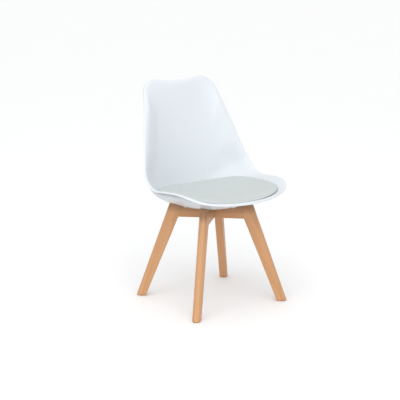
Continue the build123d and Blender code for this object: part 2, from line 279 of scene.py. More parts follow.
@shader_group(
    "beech_figure", ("Colour", "Height", "Roughness"),
    Figure=0.55, Light=(0.7, 0.44, 0.25, 1), Dark=(0.5, 0.27, 0.13, 1), Blush=(0.66, 0.36, 0.2, 1),
    Fleck=(0.36, 0.17, 0.08, 1),
)
def beech_figure(graph: Graph, given: Given) -> Sequence[Socket]:
    """Add the figure of beech, with the grain along the vector's Z.

    Args:
        graph: the group's graph.
        given: the group's inputs.

    Returns:
        The sockets of its outputs.
    """

    def stretched(*scale: float, detail: float, **more: float) -> Socket:
        """Return noise that is scaled along each axis."""
        return graph.noise(graph.mapped(given["Vector"], Scale=scale), 1.0, detail, **more)

    def share(value: Socket, amount: object, *stops: tuple[float, float]) -> Socket:
        """Return a value mapped through grey stops, times an amount."""
        return graph.math("MULTIPLY", graph.ramp(value, *stops), amount)

    warp = stretched(9.0, 9.0, 1.6, detail=3.0).node.outputs["Color"]
    ringed = graph.vectors("ADD", given["Vector"], graph.vectors("MULTIPLY", warp, (0.030, 0.030, 0.0)))
    rings = graph.add(
        "ShaderNodeTexWave",
        {
            "Vector": graph.mapped(ringed, Scale=(1.0, 0.55, 0.035)), "Scale": 44.0, "Distortion": 2.2,
            "Detail": 3.0, "Detail Scale": 1.4, "Detail Roughness": 0.62,
        },
        bands_direction="DIAGONAL", wave_profile="SAW",
    ).outputs["Fac"]
    streaks = stretched(150.0, 150.0, 3.2, detail=4.0, Roughness=0.65)
    fibres = stretched(900.0, 900.0, 16.0, detail=3.0)
    clouds = stretched(11.0, 11.0, 2.0, detail=2.0)
    dots = graph.add(
        "ShaderNodeTexVoronoi",
        {"Vector": graph.mapped(given["Vector"], Scale=(820.0, 260.0, 105.0)), "Scale": 1.0, "Randomness": 1.0},
        feature="F1",
    )
    chance = graph.add("ShaderNodeSeparateColor", {0: dots.outputs["Color"]}).outputs[0]
    picked = graph.ramp(chance, (0.56, 0.0), (0.60, 1.0))
    fleck = share(dots.outputs["Distance"], picked, (0.10, 1.0), (0.30, 0.0))

    light, dark = given["Light"], given["Dark"]
    colour = graph.blend(
        share(rings, given["Figure"], (0.0, 0.0), (0.72, 0.42), (0.93, 1.0), (1.0, 0.25)), light, dark
    )
    colour = graph.blend(share(streaks, 0.34, (0.34, 0.0), (0.68, 1.0)), colour, dark)
    colour = graph.blend(share(clouds, 0.4, (0.35, 0.0), (0.7, 1.0)), colour, given["Blush"])
    colour = graph.blend(graph.math("MULTIPLY", fleck, 0.42), colour, given["Fleck"])
    height = graph.math("SUBTRACT", fibres, graph.math("MULTIPLY", fleck, 0.9))
    return colour, height, graph.remap(fibres, 0.3, 0.7, 0.40, 0.56)


# ---- finishes -------------------------------------------------------------------------------------


class Skin(Graph):
    """A material's graph, with its Principled shader and the place its textures follow."""

    def __init__(self, name: str) -> None:
        """Make the material.

        Args:
            name: the material's name.
        """
        self.material = bpy.data.materials.new(name)
        self.material.use_nodes = True
        self.material.node_tree.nodes.clear()
        super().__init__(self.material.node_tree)
        self.shader = self.add("ShaderNodeBsdfPrincipled")
        self.add("ShaderNodeOutputMaterial", {"Surface": self.shader.outputs[0]})
        self.place = self.add("ShaderNodeTexCoord").outputs["Object"]

    def group(self, tree: bpy.types.NodeTree, **inputs: object) -> Given:
        """Place a node group and return its outputs."""
        return self.add("ShaderNodeGroup", {"Vector": self.place, **inputs}, node_tree=tree).outputs

    def surface(self, colour: Socket, rough: Socket, normal: Socket, others: dict) -> None:
        """Join what every finish has to the shader, and set its other inputs."""
        self.set(self.shader, {"Base Color": colour, "Roughness": rough, "Normal": normal, **others})


@dataclass(frozen=True)
class Coating:
    """A finish that can be made into a material of its name."""

    name: str

    def paint(self, skin: Skin) -> None:
        """Add the finish's nodes. Each kind of finish has its own."""
        raise NotImplementedError

    def material(self) -> bpy.types.Material:
        """Make the material.

        Returns:
            The finish as a material.
        """
        skin = Skin(self.name)
        self.paint(skin)
        return skin.material


@dataclass(frozen=True)
class MouldedPlastic(Coating):
    """Injection-moulded plastic with a fine skin, soft variation in gloss, a few hairline scuffs and optional painted
    shade from a mesh attribute.
    """

    colour: Colour
    shade: Colour
    gloss: tuple[float, float] = (0.30, 0.42)
    skin_depth: float = 0.00003
    scuffs: float = 0.25
    scuff_roughness: float = 0.3
    coat: float = 0.0
    soft_light: float = 0.0
    # Painted shade from the crevice attribute: its strength and the grey it darkens the colour towards.
    painted_shade: float = 0.0
    painted_shade_colour: Colour = (0.16, 0.165, 0.18)

    def paint(self, skin: Skin) -> None:
        """Add the finish's nodes.

        Args:
            skin: the material's graph.
        """
        tint = skin.group(mottle(), Scale=6.0)
        gloss = skin.group(mottle(), Scale=30.0, Low=self.gloss[0], High=self.gloss[1])
        scuffs = skin.group(scuff(), Amount=self.scuffs)
        texture = skin.group(moulded_skin())
        colour = skin.blend(tint["Value"], rgba(self.colour), rgba(self.shade))
        # Painted shade: a mottled share of the crevice attribute darkens the colour under the seat's lip and over its
        # underside.
        if self.painted_shade:
            crevice_shade = skin.add("ShaderNodeAttribute", attribute_name="crevice_shade").outputs["Fac"]
            uneven = skin.math("MULTIPLY", tint["Mask"], self.painted_shade * 2)
            colour = skin.blend(skin.math("MULTIPLY", crevice_shade, uneven), colour, rgba(self.painted_shade_colour))
        rough = skin.math("ADD", gloss["Value"], skin.math("MULTIPLY", scuffs["Mask"], self.scuff_roughness))
        others = {"IOR": 1.49, "Coat Weight": self.coat, "Coat Roughness": 0.22}
        if self.soft_light:
            others |= {
                "Subsurface Weight": self.soft_light, "Subsurface Radius": (0.006, 0.006, 0.007),
                "Subsurface Scale": 0.6,
            }
        skin.surface(colour, rough, skin.bump(texture["Height"], 0.35, self.skin_depth), others)


@dataclass(frozen=True)
class LeatherCloth(Coating):
    """Coated upholstery cloth with a pebbled grain, a soft sheen and creases darkened by painted shade."""

    colour: Colour
    shade: Colour
    # Painted shade in the grain's creases: its colour and its share.
    crease_shade: Colour
    crease_shade_share: float = 0.30
    grain_depth: float = 0.00016

    def paint(self, skin: Skin) -> None:
        """Add the finish's nodes.

        Args:
            skin: the material's graph.
        """
        tint = skin.group(mottle(), Scale=9.0)
        gloss = skin.group(mottle(), Scale=22.0, Low=0.40, High=0.52)
        grain = skin.group(pebbles())
        base = skin.blend(tint["Value"], rgba(self.colour), rgba(self.shade))
        # Painted shade: the colour is darkened in the grain's creases.
        crease_shaded = skin.math("MULTIPLY", grain["Creases"], self.crease_shade_share)
        rough = skin.math("ADD", gloss["Value"], skin.math("MULTIPLY", grain["Creases"], 0.12))
        pulls = skin.bump(skin.noise(skin.place, 16.0, 2.0, Distortion=0.4), 0.22, 0.0022)
        skin.surface(
            skin.blend(crease_shaded, base, rgba(self.crease_shade)), rough,
            skin.bump(grain["Height"], 0.5, self.grain_depth, Normal=pulls),
            {"Sheen Weight": 0.12, "Sheen Roughness": 0.45},
        )


@dataclass(frozen=True)
class Beech(Coating):
    """Clear-lacquered beech whose grain runs along one direction, darkened by painted shadow where it nears the seat.
    """

    grain: Vector
    light: Colour = (0.60, 0.325, 0.155)
    dark: Colour = (0.45, 0.21, 0.085)
    blush: Colour = (0.54, 0.26, 0.11)
    fleck: Colour = (0.34, 0.155, 0.065)
    figure: float = 0.55
    lacquer: float = 0.18
    # Painted shadow under the seat: its colour, its strength, and the heights in metres over which it grows.
    seat_shadow_colour: Colour = (0.17, 0.07, 0.03)
    seat_shadow_share: float = 0.62
    seat_shadow_heights: tuple[float, float] = (0.335, 0.364)

    def paint(self, skin: Skin) -> None:
        """Add the finish's nodes.

        Args:
            skin: the material's graph.
        """
        turn = self.grain.normalized().rotation_difference(Vector((0.0, 0.0, 1.0))).to_euler()
        wood = skin.group(
            beech_figure(), Vector=skin.mapped(skin.place, Rotation=tuple(turn)), Figure=self.figure,
            Light=rgba(self.light), Dark=rgba(self.dark), Blush=rgba(self.blush), Fleck=rgba(self.fleck),
        )
        patina = skin.group(mottle(), Scale=18.0, Low=-0.05, High=0.07)
        # Painted shadow: the wood darkens towards its top, where the seat shades it, mottled by the patina mask.
        height = skin.add("ShaderNodeSeparateXYZ", {0: skin.place}).outputs["Z"]
        near_seat = skin.remap(height, *self.seat_shadow_heights, 0.0, self.seat_shadow_share)
        seat_shadow = skin.math("MULTIPLY", near_seat, skin.math("ADD", patina["Mask"], 0.5))
        skin.surface(
            skin.blend(seat_shadow, wood["Colour"], rgba(self.seat_shadow_colour)),
            skin.math("ADD", wood["Roughness"], patina["Value"]),
            skin.bump(wood["Height"], 0.35, 0.00012),
            {"Coat Weight": self.lacquer, "Coat Roughness": 0.32},
        )


@dataclass(frozen=True)
class TurnedMetal(Coating):
    """Plated or turned metal with fine tool lines and dulled patches."""

    colour: Colour
    dull: Colour
    gloss: tuple[float, float] = (0.24, 0.42)
    lines: tuple[float, float, float] = (40.0, 40.0, 2600.0)

    def paint(self, skin: Skin) -> None:
        """Add the finish's nodes.

        Args:
            skin: the material's graph.
        """
        patches = skin.group(mottle(), Scale=420.0)
        gloss = skin.group(mottle(), Scale=160.0, Low=self.gloss[0], High=self.gloss[1])
        scuffs = skin.group(scuff(), Scale=120.0, Amount=0.5)
        lines = skin.noise(skin.mapped(skin.place, Scale=self.lines), 1.0, 2.0)
        skin.surface(
            skin.blend(patches["Value"], rgba(self.colour), rgba(self.dull)),
            skin.math("ADD", gloss["Value"], skin.math("MULTIPLY", scuffs["Mask"], 0.2)),
            skin.bump(lines, 0.3, 0.00002),
            {"Metallic": 1.0},
        )


class Finish(Enum):
    """The finishes of the chair other than its beech, whose grain differs from piece to piece."""

    # The seat's plastic carries painted shade under its lip and over its underside.
    SEAT = MouldedPlastic(
        "white_seat_plastic", (0.70, 0.74, 0.77), (0.685, 0.725, 0.76), gloss=(0.30, 0.40), coat=0.08,
        soft_light=0.12, painted_shade=0.85,
    )
    PAD = LeatherCloth("pale_grey_leathercloth", (0.545, 0.585, 0.58), (0.525, 0.57, 0.565), (0.43, 0.475, 0.475))
    BOARD = MouldedPlastic(
        "black_board_plastic", (0.028, 0.028, 0.030), (0.04, 0.04, 0.042), gloss=(0.45, 0.6), skin_depth=0.00006
    )
    CLIP = MouldedPlastic("white_clip_nylon", (0.72, 0.73, 0.73), (0.68, 0.69, 0.69), gloss=(0.38, 0.5))
    GLIDE = MouldedPlastic(
        "brown_glide_nylon", (0.10, 0.062, 0.036), (0.14, 0.09, 0.055), gloss=(0.5, 0.66), skin_depth=0.00008
    )
    BRASS = TurnedMetal("turned_brass", (0.80, 0.60, 0.29), (0.62, 0.44, 0.20))
    ZINC = TurnedMetal("zinc_plate", (0.66, 0.67, 0.68), (0.50, 0.51, 0.52))
    WIRE = TurnedMetal("galvanised_wire", (0.60, 0.61, 0.62), (0.44, 0.45, 0.46), gloss=(0.3, 0.5))

    def dress(self, *names: str) -> None:
        """Give the CAD nodes of these names this finish."""
        put_on(self.value.material(), names)


def put_on(material: bpy.types.Material, names: Iterable[str]) -> None:
    """Put a material on every slot of some CAD nodes.

    Args:
        material: the material.
        names: the nodes' names.
    """
    for name in names:
        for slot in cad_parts[name].material_slots:
            slot.material = material
        log.info("%s: %s", name, material.name)


# ---- mesh helpers ---------------------------------------------------------------------------------


def mesh_object(
    name: str, points: np.ndarray, faces: list[list[int]], material: bpy.types.Material
) -> bpy.types.Object:
    """Make a smooth mesh object with outward normals.

    Args:
        name: the object's name.
        points: its vertices.
        faces: vertex numbers of each face.
        material: its one material.

    Returns:
        The object, linked to the scene.
    """
    mesh = bpy.data.meshes.new(name)
    mesh.from_pydata([tuple(p) for p in points], [], faces)
    body = bmesh.new()
    body.from_mesh(mesh)
    bmesh.ops.remove_doubles(body, verts=body.verts, dist=1e-6)
    bmesh.ops.recalc_face_normals(body, faces=body.faces)
    body.to_mesh(mesh)
    body.free()
    mesh.polygons.foreach_set("use_smooth", [True] * len(mesh.polygons))
    mesh.materials.append(material)
    made = bpy.data.objects.new(name, mesh)
    bpy.context.collection.objects.link(made)
    return made


def ring_faces(low: Sequence[int], high: Sequence[int]) -> list[list[int]]:
    """Return the faces between two closed rings of vertex numbers of one length."""
    count = len(low)
    return [[low[j], low[(j + 1) % count], high[(j + 1) % count], high[j]] for j in range(count)]


def closed_rings(rings: list[np.ndarray], poles: bool = True) -> tuple[np.ndarray, list[list[int]]]:
    """Join closed rings of points into a skin.

    Args:
        rings: arrays of points, all of one length, in order.
        poles: close both ends with a fan to the middle of the first and last ring; otherwise the last ring
            joins the first.

    Returns:
        The points and the faces.
    """
    count = len(rings[0])
    numbers = [range(k * count, (k + 1) * count) for k in range(len(rings))]
    follow = numbers[1:] if poles else numbers[1:] + numbers[:1]
    faces = [face for low, high in zip(numbers, follow) for face in ring_faces(low, high)]
    points = np.concatenate(rings)
    if poles:
        tips = (len(points), len(points) + 1)
        points = np.concatenate([points, [rings[end].mean(axis=0) for end in (0, -1)]])
        for tip, ring in zip(tips, (numbers[0], numbers[-1])):
            faces += [[tip, ring[j], ring[(j + 1) % count]] for j in range(count)]
    return points, faces


def plain_mesh(made: bpy.types.Object) -> bpy.types.Object:
    """Turn an object's evaluated modifiers into its own mesh and remove them.

    Args:
        made: the object.

    Returns:
        The same object.
    """
    depsgraph = bpy.context.evaluated_depsgraph_get()
    mesh = bpy.data.meshes.new_from_object(made.evaluated_get(depsgraph), depsgraph=depsgraph)
    made.modifiers.clear()
    made.data = mesh
    return made


def rounded(made: bpy.types.Object) -> bpy.types.Object:
    """Return the object with its mesh subdivided once."""
    smooth = made.modifiers.new("smooth", "SUBSURF")
    smooth.levels = smooth.render_levels = 1
    return plain_mesh(made)


class Grower:
    """A geometry tree with named inputs whose result becomes a plain mesh."""

    def __init__(self, name: str, **inputs: float) -> None:
        """Start a tree.

        Args:
            name: the tree's and the object's name.
            **inputs: value of each input. A whole number makes a whole-number input.
        """
        self.name, self.values = name, inputs
        self.tree = bpy.data.node_groups.new(name, "GeometryNodeTree")
        sockets = [("Geometry", GEOMETRY, "INPUT")]
        sockets += [(label, WHOLE if isinstance(v, int) else NUMBER, "INPUT") for label, v in inputs.items()]
        for label, kind, side in sockets + [("Geometry", GEOMETRY, "OUTPUT")]:
            self.tree.interface.new_socket(label, in_out=side, socket_type=kind)
        self.graph = Graph(self.tree)
        self.given = self.graph.add("NodeGroupInput").outputs

    def grow(
        self, points: Socket, instance: Socket, material: bpy.types.Material,
        seed: bpy.types.Mesh | None = None, **more: Socket,
    ) -> bpy.types.Object:
        """Put an instance on points, run the tree and keep its result.

        Args:
            points: the points' socket.
            instance: the instance's socket.
            material: the result's material.
            seed: the mesh that the tree starts from, if it reads one.
            **more: other inputs of the instances.

        Returns:
            The object, with a plain mesh.
        """
        inputs = {"Points": points, "Instance": instance, **more}
        placed = self.graph.add("GeometryNodeInstanceOnPoints", inputs)
        whole = self.graph.add("GeometryNodeRealizeInstances", {0: placed.outputs[0]})
        dressed = self.graph.add("GeometryNodeSetMaterial", {0: whole.outputs[0], "Material": material})
        self.graph.add("NodeGroupOutput", {0: dressed.outputs[0]})
        made = bpy.data.objects.new(self.name, seed or bpy.data.meshes.new(self.name))
        bpy.context.collection.objects.link(made)
        modifier = made.modifiers.new(self.name, "NODES")
        modifier.node_group = self.tree
        for item in self.tree.interface.items_tree:
            if item.in_out == "INPUT" and item.name in self.values:
                modifier[item.identifier] = self.values[item.name]
        plain_mesh(made)
        if not made.data.materials:
            made.data.materials.append(material)
        return made


def run_lengths(points: np.ndarray) -> np.ndarray:
    """Return the distance travelled at each row of a path."""
    return np.concatenate([[0.0], np.cumsum(np.linalg.norm(np.diff(points, axis=0), axis=1))])


def smooth_step(value: np.ndarray, low: float, high: float) -> np.ndarray:
    """Return 0 below low, 1 above high and a smooth rise between them."""
    share = np.clip((value - low) / (high - low), 0.0, 1.0)
    return share * share * (3.0 - 2.0 * share)


def bell(half: int, width: float) -> list[tuple[float, int]]:
    """Weigh steps by a bell curve.

    Args:
        half: the last step on each side.
        width: the curve's standard deviation, in steps.

    Returns:
        Pairs of weight and step, whose weights add up to 1.
    """
    steps = range(-half, half + 1)
    weights = np.exp(-0.5 * (np.array(steps) / width) ** 2)
    return list(zip(weights / weights.sum(), steps))


class Spline:
    """Natural cubic spline through rows of values."""

    def __init__(self, knots: np.ndarray, values: np.ndarray) -> None:
        """Solve for the second derivatives.

        Args:
            knots: growing positions.
            values: one row of values for each knot.
        """
        count, gaps = len(knots), np.diff(knots)
        system, right = np.eye(count), np.zeros_like(values)
        rises = np.diff(values, axis=0) / gaps[:, None]
        for i in range(1, count - 1):
            system[i, i - 1 : i + 2] = gaps[i - 1], 2 * (gaps[i - 1] + gaps[i]), gaps[i]
            right[i] = 6 * (rises[i] - rises[i - 1])
        self.knots, self.values, self.bends = knots, values, np.linalg.solve(system, right)

    def __call__(self, where: np.ndarray) -> np.ndarray:
        """Return the rows at these positions.

        Args:
            where: positions, of any shape.

        Returns:
            The values, with one more axis.
        """
        where = np.asarray(where, float)
        i = np.clip(np.searchsorted(self.knots, where) - 1, 0, len(self.knots) - 2)
        gap = (self.knots[i + 1] - self.knots[i])[..., None]
        after = (where - self.knots[i])[..., None]
        before = gap - after
        low, high = self.bends[i], self.bends[i + 1]
        return (
            (low * before**3 + high * after**3) / (6 * gap)
            + (self.values[i] / gap - low * gap / 6) * before
            + (self.values[i + 1] / gap - high * gap / 6) * after
        )


# ---- the seat's form ------------------------------------------------------------------------------


@dataclass
class SeatForm:
    """The form that the moulded seat and everything lying in it follow, in millimetres.

    A point is given by t, the distance along the middle line from the front to the top, by x to the side, and by
    a level above the lower face of the lip.
    """

    cross_y: float = 11.0
    bowl: float = 2.3
    half_span: float = 260.0
    half_width: float = 250.0
    skin_low: float = 4.0
    skin_high: float = 8.0
    # Middle line (y, z) and the same station at half_span (y, z), from the front to the top.
    stations: tuple = (
        (-285, 398, -279, 440), (-253.5, 419, -247, 455), (-235, 416.5, -229, 462), (-212, 407, -206, 468),
        (-175, 393, -169, 474), (-95, 367.5, -88, 473), (-20, 355.5, -7, 459), (45, 353, 30, 464),
        (95, 359, 57, 483), (130, 377, 71, 506), (158, 415, 78, 524), (171, 465, 80, 534), (180, 510, 82, 543),
        (200, 620, 107, 655), (215, 738, 155, 760), (224.5, 797, 214, 808), (228.5, 824, 240, 832),
        (231, 850, 256, 858),
    )
    # The table of the form: its step along the middle line and how far it runs past both ends.
    step: float = 3.0
    overrun: float = 60.0
    # The fold between seat and back: how far it is softened, and where along the middle line that rises and ends.
    fold_softness: float = 14.0
    fold_reach: int = 15
    fold_rise: tuple[float, float] = (300.0, 360.0)
    fold_end: tuple[float, float] = (560.0, 640.0)
    # Edge seen from above, from the middle of the front to the side (x, y), and seen from the front, from the
    # side to the middle of the top (x, z).
    plan_edge: tuple = (
        (0, -253.5), (81, -245), (163, -217), (221, -171), (242, -89), (250, -4), (252, 82)
    )
    front_edge: tuple = (
        (252, 435), (250, 473), (235, 536), (207, 641), (175, 747), (153, 800.5), (117, 820), (64, 814), (0, 811)
    )
    # Stretches of the middle line searched for both, where the first is left, and the gap before the second.
    plan_stretch: tuple[float, float] = (0.0, 420.0)
    front_start: float = 400.0
    search_steps: int = 2500
    edge_samples: int = 500
    plan_end: float = 300.0
    seam_gap: float = 20.0
    # The whole edge is resampled to this many rows and evened over this many of them.
    edge_rows: int = 1800
    edge_reach: int = 30
    edge_softness: float = 7.0
    # Search for the form under a point of the plan: rounds, least slope and longest step.
    rounds: int = 24
    least_slope: float = 0.25
    longest_step: float = 15.0

    def __post_init__(self) -> None:
        """Fit the spline through the stations and soften the fold."""
        rows = np.array(self.stations, float)
        self.run = run_lengths(rows[:, :2])
        fine = np.arange(-self.overrun, self.run[-1] + self.overrun, self.step)
        table = Spline(self.run, rows)(fine)
        padded = np.pad(table[:, 2:], ((self.fold_reach,) * 2, (0, 0)), mode="edge")
        weights = bell(self.fold_reach, self.fold_softness / self.step)
        soft = sum(w * padded[self.fold_reach + k :][: len(fine)] for w, k in weights)
        share = (smooth_step(fine, *self.fold_rise) * (1.0 - smooth_step(fine, *self.fold_end)))[:, None]
        table[:, 2:] = table[:, 2:] * (1.0 - share) + soft * share
        self.spline = Spline(fine, table)

    def base(self, t: np.ndarray, x: np.ndarray) -> np.ndarray:
        """Return points of the lowest level.

        Args:
            t: distances along the middle line.
            x: distances to the side.

        Returns:
            An array of points.
        """
        row = self.spline(t)
        share = (np.abs(x) / self.half_span) ** self.bowl
        y = self.cross_y + row[..., 0] + (row[..., 2] - row[..., 0]) * share
        return np.stack([x, y, row[..., 1] + (row[..., 3] - row[..., 1]) * share], axis=-1)

    def point(self, t: np.ndarray, x: np.ndarray, level: np.ndarray | float) -> np.ndarray:
        """Return points at a level.

        Args:
            t: distances along the middle line.
            x: distances to the side.
            level: height over the lowest level, along the form's normal.

        Returns:
            An array of points.
        """
        t, x = np.broadcast_arrays(np.asarray(t, float), np.asarray(x, float))
        across = self.base(t, x + 0.5) - self.base(t, x - 0.5)
        along = self.base(t + 0.5, x) - self.base(t - 0.5, x)
        normal = np.cross(across, along)
        normal /= np.linalg.norm(normal, axis=-1, keepdims=True)
        return self.base(t, x) + np.asarray(level, float)[..., None] * normal

    def under(self, x: np.ndarray, y: np.ndarray, level: float) -> tuple[np.ndarray, np.ndarray]:
        """Find the form under points of the plan.

        Args:
            x: distances to the side.
            y: distances to the rear.
            level: level of the form.

        Returns:
            The distance along the middle line and the height of the form at each point.
        """
        t = np.interp(y - self.cross_y, self.spline.values[:, 0], self.spline.knots)
        side = np.array(x, float)
        for _ in range(self.rounds):
            spot = self.point(t, side, level)
            slope = self.point(t + 1.0, side, level)[..., 1] - spot[..., 1]
            step = (y - spot[..., 1]) / np.maximum(slope, self.least_slope)
            t = t + np.clip(step, -self.longest_step, self.longest_step)
            side = side + x - spot[..., 0]
        return t, self.point(t, side, level)[..., 2]

    def traced(self, drawn: Sequence, axis: int, stretch: Sequence[float], first: int, last: int) -> np.ndarray:
        """Find a drawn edge on the form.

        Args:
            drawn: rows of x and of a measure along the axis.
            axis: 1 where the measure is y, 2 where it is z.
            stretch: the part of the middle line to search.
            first: number of the first row to trace.
            last: number of the last row to trace.

        Returns:
            Rows of (t, x).
        """
        table = np.array(drawn, float)
        knots, reach = run_lengths(table), np.linspace(*stretch, self.search_steps)
        origin = self.cross_y if axis == 1 else 0.0
        rows = []
        for x, measure in Spline(knots, table)(np.linspace(knots[first], knots[last], self.edge_samples)):
            x = min(max(x, 0.0), self.half_width)
            line = self.base(reach, np.full_like(reach, x))[:, axis]
            rows.append((np.interp(measure + origin, line, reach), x))
        return np.array(rows)

    def edge_loop(self, half_count: int) -> np.ndarray:
        """Return the seat's edge as (t, x), evenly spaced all the way round.

        Args:
            half_count: number of steps from the front to the top.

        Returns:
            An array of 2 * half_count rows, from the front over the positive side.
        """
        plan, front = list(self.plan_edge), list(self.front_edge)
        low = self.traced([(-x, y) for x, y in plan[2:0:-1]] + plan, 1, self.plan_stretch, 2, -1)
        high = self.traced(
            front + [(-x, z) for x, z in front[-2:-4:-1]], 2, (self.front_start, self.run[-1]), 0, -3
        )
        low = low[low[:, 0] < self.plan_end]
        half = np.concatenate([low, high[high[:, 0] > low[-1, 0] + self.seam_gap]])
        loop = np.concatenate([half, half[-2:0:-1] * (1, -1)])
        for _ in range(2):
            loop = self.evened(loop, self.edge_rows)
            loop = sum(w * np.roll(loop, k, axis=0) for w, k in bell(self.edge_reach, self.edge_softness))
        return self.evened(loop, 2 * half_count)

    def evened(self, loop: np.ndarray, count: int) -> np.ndarray:
        """Resample a closed loop to even steps.

        Args:
            loop: rows of (t, x).
            count: number of rows wanted.

        Returns:
            The new rows.
        """
        whole = np.concatenate([loop, loop[:1]])
        lengths = run_lengths(self.base(whole[:, 0], whole[:, 1]))
        even = np.linspace(0, lengths[-1], count, endpoint=False)
        return np.stack([np.interp(even, lengths, whole[:, k]) for k in (0, 1)], axis=1)


# ---- sub-assemblies -------------------------------------------------------------------------------


@dataclass
class MouldedSeat:
    """The white seat and back: a closed shell with a rolled edge, and the bosses it stands on."""

    form: SeatForm
    half_spokes: int = 92
    pole_t: float = 400.0
    pole_share: float = 0.995
    near: tuple = (5, 7, 9.5, 12, 15, 18.5, 22, 26, 31, 37, 45, 56)
    far_steps: int = 30
    boss_radius: float = 10.5
    boss_top: float = 371.0
    boss_bottom: float = 359.0
    boss_reach: float = 98.0
    boss_angle: float = 47.4
    # Flare of the edge: height of the edge, width of the flared band, how far it turns out and where that fades.
    flare: tuple = ((400, 9, 1.0, 30), (455, 10, 1.2, 30), (490, 12, 1.6, 32), (550, 22, 4.5, 60),
                    (620, 27, 8.5, 110), (740, 26, 8.0, 130), (800, 20, 5.0, 120), (830, 15, 3.0, 100))
    # Swelling of the underside beside the sitter: how much, where it rises and falls in from the edge, and by
    # the height of the edge.
    belly: float = 11.0
    belly_rise: tuple[float, float] = (6.0, 30.0)
    belly_fall: tuple[float, float] = (48.0, 100.0)
    belly_from: tuple[float, float] = (432.0, 455.0)
    belly_to: tuple[float, float] = (500.0, 590.0)
    # Section through the lip, from its top edge round to its inner foot: distance in, level.
    lip: tuple = (
        (4.0, 8.05), (2.9, 8.0), (1.9, 7.75), (1.0, 7.25), (0.35, 6.5), (0.0, 5.5), (0.0, 4.0), (0.0, 2.0),
        (0.0, 1.0), (0.3, 0.1), (1.0, -0.5), (1.9, -0.8), (2.9, -0.8), (3.7, -0.5), (4.3, 0.1), (4.6, 1.0),
        (4.7, 2.8), (4.9, 4.2), (5.5, 5.0), (6.5, 5.1), (8.0, 4.7),
    )
    # Painted shade below the lip and over the underside: points of the section that stay unshaded, where it fades
    # inwards and to how much, and the heights of the edge between which it ends.
    unshaded_points: int = 11
    shade_fade: tuple[float, float] = (9.0, 21.0)
    underside_shade: float = 0.25
    shade_end: tuple[float, float] = (500.0, 620.0)

    def raised(self, inset: np.ndarray, height: np.ndarray) -> np.ndarray:
        """Return how far the flare lifts the form.

        Args:
            inset: distances in from the edge.
            height: heights of the edge there.

        Returns:
            The lift at each place.
        """
        heights, *columns = np.array(self.flare, float).T
        width, depth, reach = (np.interp(height, heights, column) for column in columns)
        rise = 1.0 - np.clip(1.0 - inset / width, 0.0, 1.0) ** 2
        return depth * rise * (1.0 - smooth_step(inset, width, width + reach))

    def bulge(self, inset: np.ndarray, height: np.ndarray) -> np.ndarray:
        """Return how far the underside swells out.

        Args:
            inset: distances in from the edge.
            height: heights of the edge there.

        Returns:
            The swelling at each place.
        """
        swell = smooth_step(inset, *self.belly_rise) * (1.0 - smooth_step(inset, *self.belly_fall))
        where = smooth_step(height, *self.belly_from) * (1.0 - smooth_step(height, *self.belly_to))
        return self.belly * swell * where

    def rings(self) -> tuple[list[np.ndarray], np.ndarray]:
        """Lay the shell's skin in closed rings, from the middle of its top over the lip to the middle below.

        Returns:
            The rings, and how much painted shade each of their points gets.
        """
        form, loop = self.form, self.form.edge_loop(self.half_spokes)
        spokes = np.array([self.pole_t, 0.0]) - loop
        reach = np.linalg.norm(spokes, axis=1)
        height = form.base(loop[:, 0], loop[:, 1])[:, 2]

        def ring(inset: np.ndarray, level: np.ndarray | float) -> np.ndarray:
            """Return the ring at some distances in from the edge and at a level."""
            t, x = (loop + spokes * (inset / reach)[:, None]).T
            return form.point(t, x, level + self.raised(inset, height)) * MM

        far = [self.near[-1] + (reach - self.near[-1]) * k / self.far_steps for k in range(1, self.far_steps - 1)]
        insets = [np.full_like(reach, inset) for inset in self.near] + far + [reach * self.pole_share]
        high = [ring(inset, form.skin_high) for inset in reversed(insets)]
        lip = [ring(np.full_like(reach, inset), level) for inset, level in self.lip]
        low = [ring(inset, form.skin_low - self.bulge(inset, height)) for inset in insets[2:]]
        # Painted shade: full on the lip's lower points, fading inwards to a lower share over the underside, and none
        # where the edge is high.
        start, end = self.shade_fade
        painted_shade = [0.0] * (len(high) + self.unshaded_points) + [1.0] * (len(lip) - self.unshaded_points)
        painted_shade += [max(self.underside_shade, 1.0 - max(inset - start, 0.0) / (end - start)) for inset in self.near[2:]]
        painted_shade += [self.underside_shade] * (len(low) - len(self.near) + 2)
        unshaded_height, shaded_height = self.shade_end[1], self.shade_end[0]
        share = np.clip((unshaded_height - height) / (unshaded_height - shaded_height), 0.0, 1.0)
        return high + lip + low, np.concatenate([amount * share for amount in painted_shade])

    def build(self) -> None:
        """Make the shell and the bosses and let them stand for the CAD seat."""
        rings, painted_shade = self.rings()
        shell = mesh_object("moulded_seat", *closed_rings(rings), Finish.SEAT.value.material())
        shade = np.zeros(len(shell.data.vertices))
        shade[: len(painted_shade)] = painted_shade[: len(shade)]
        # The painted shade goes into the crevice attribute, which the seat's material reads.
        shell.data.attributes.new("crevice_shade", "FLOAT", "POINT").data.foreach_set("value", shade)
        rounded(shell)
        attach(shell, ROOT)
        bosses = self.bosses(shell.data.materials[0])
        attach(bosses, ROOT)
        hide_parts("seat_shell")
        log.info("moulded_seat: %d faces", len(shell.data.polygons))

    def bosses(self, material: bpy.types.Material) -> bpy.types.Object:
        """Make the four bosses under the seat with a geometry tree.

        Args:
            material: the seat's material.

        Returns:
            One mesh of four bosses.
        """
        tree = Grower(
            "seat_bosses", Reach=self.boss_reach * MM, Spread=math.radians(self.boss_angle),
            Radius=self.boss_radius * MM, Height=(self.boss_top - self.boss_bottom) * MM,
        )
        graph, given = tree.graph, tree.given
        size_x, size_y = (
            graph.math("MULTIPLY", graph.math("MULTIPLY", graph.math(turn, given["Spread"]), given["Reach"]), 2.0)
            for turn in ("SINE", "COSINE")
        )
        corners = graph.add(
            "GeometryNodeMeshGrid", {"Size X": size_x, "Size Y": size_y, "Vertices X": 2, "Vertices Y": 2}
        )
        barrel = graph.add(
            "GeometryNodeMeshCylinder", {"Vertices": 64, "Radius": given["Radius"], "Depth": given["Height"]}
        )
        made = tree.grow(corners.outputs[0], barrel.outputs[0], material)
        middle = Vector((0, self.form.cross_y, (self.boss_top + self.boss_bottom) / 2)) * MM
        made.data.transform(Matrix.Translation(middle))
        return made


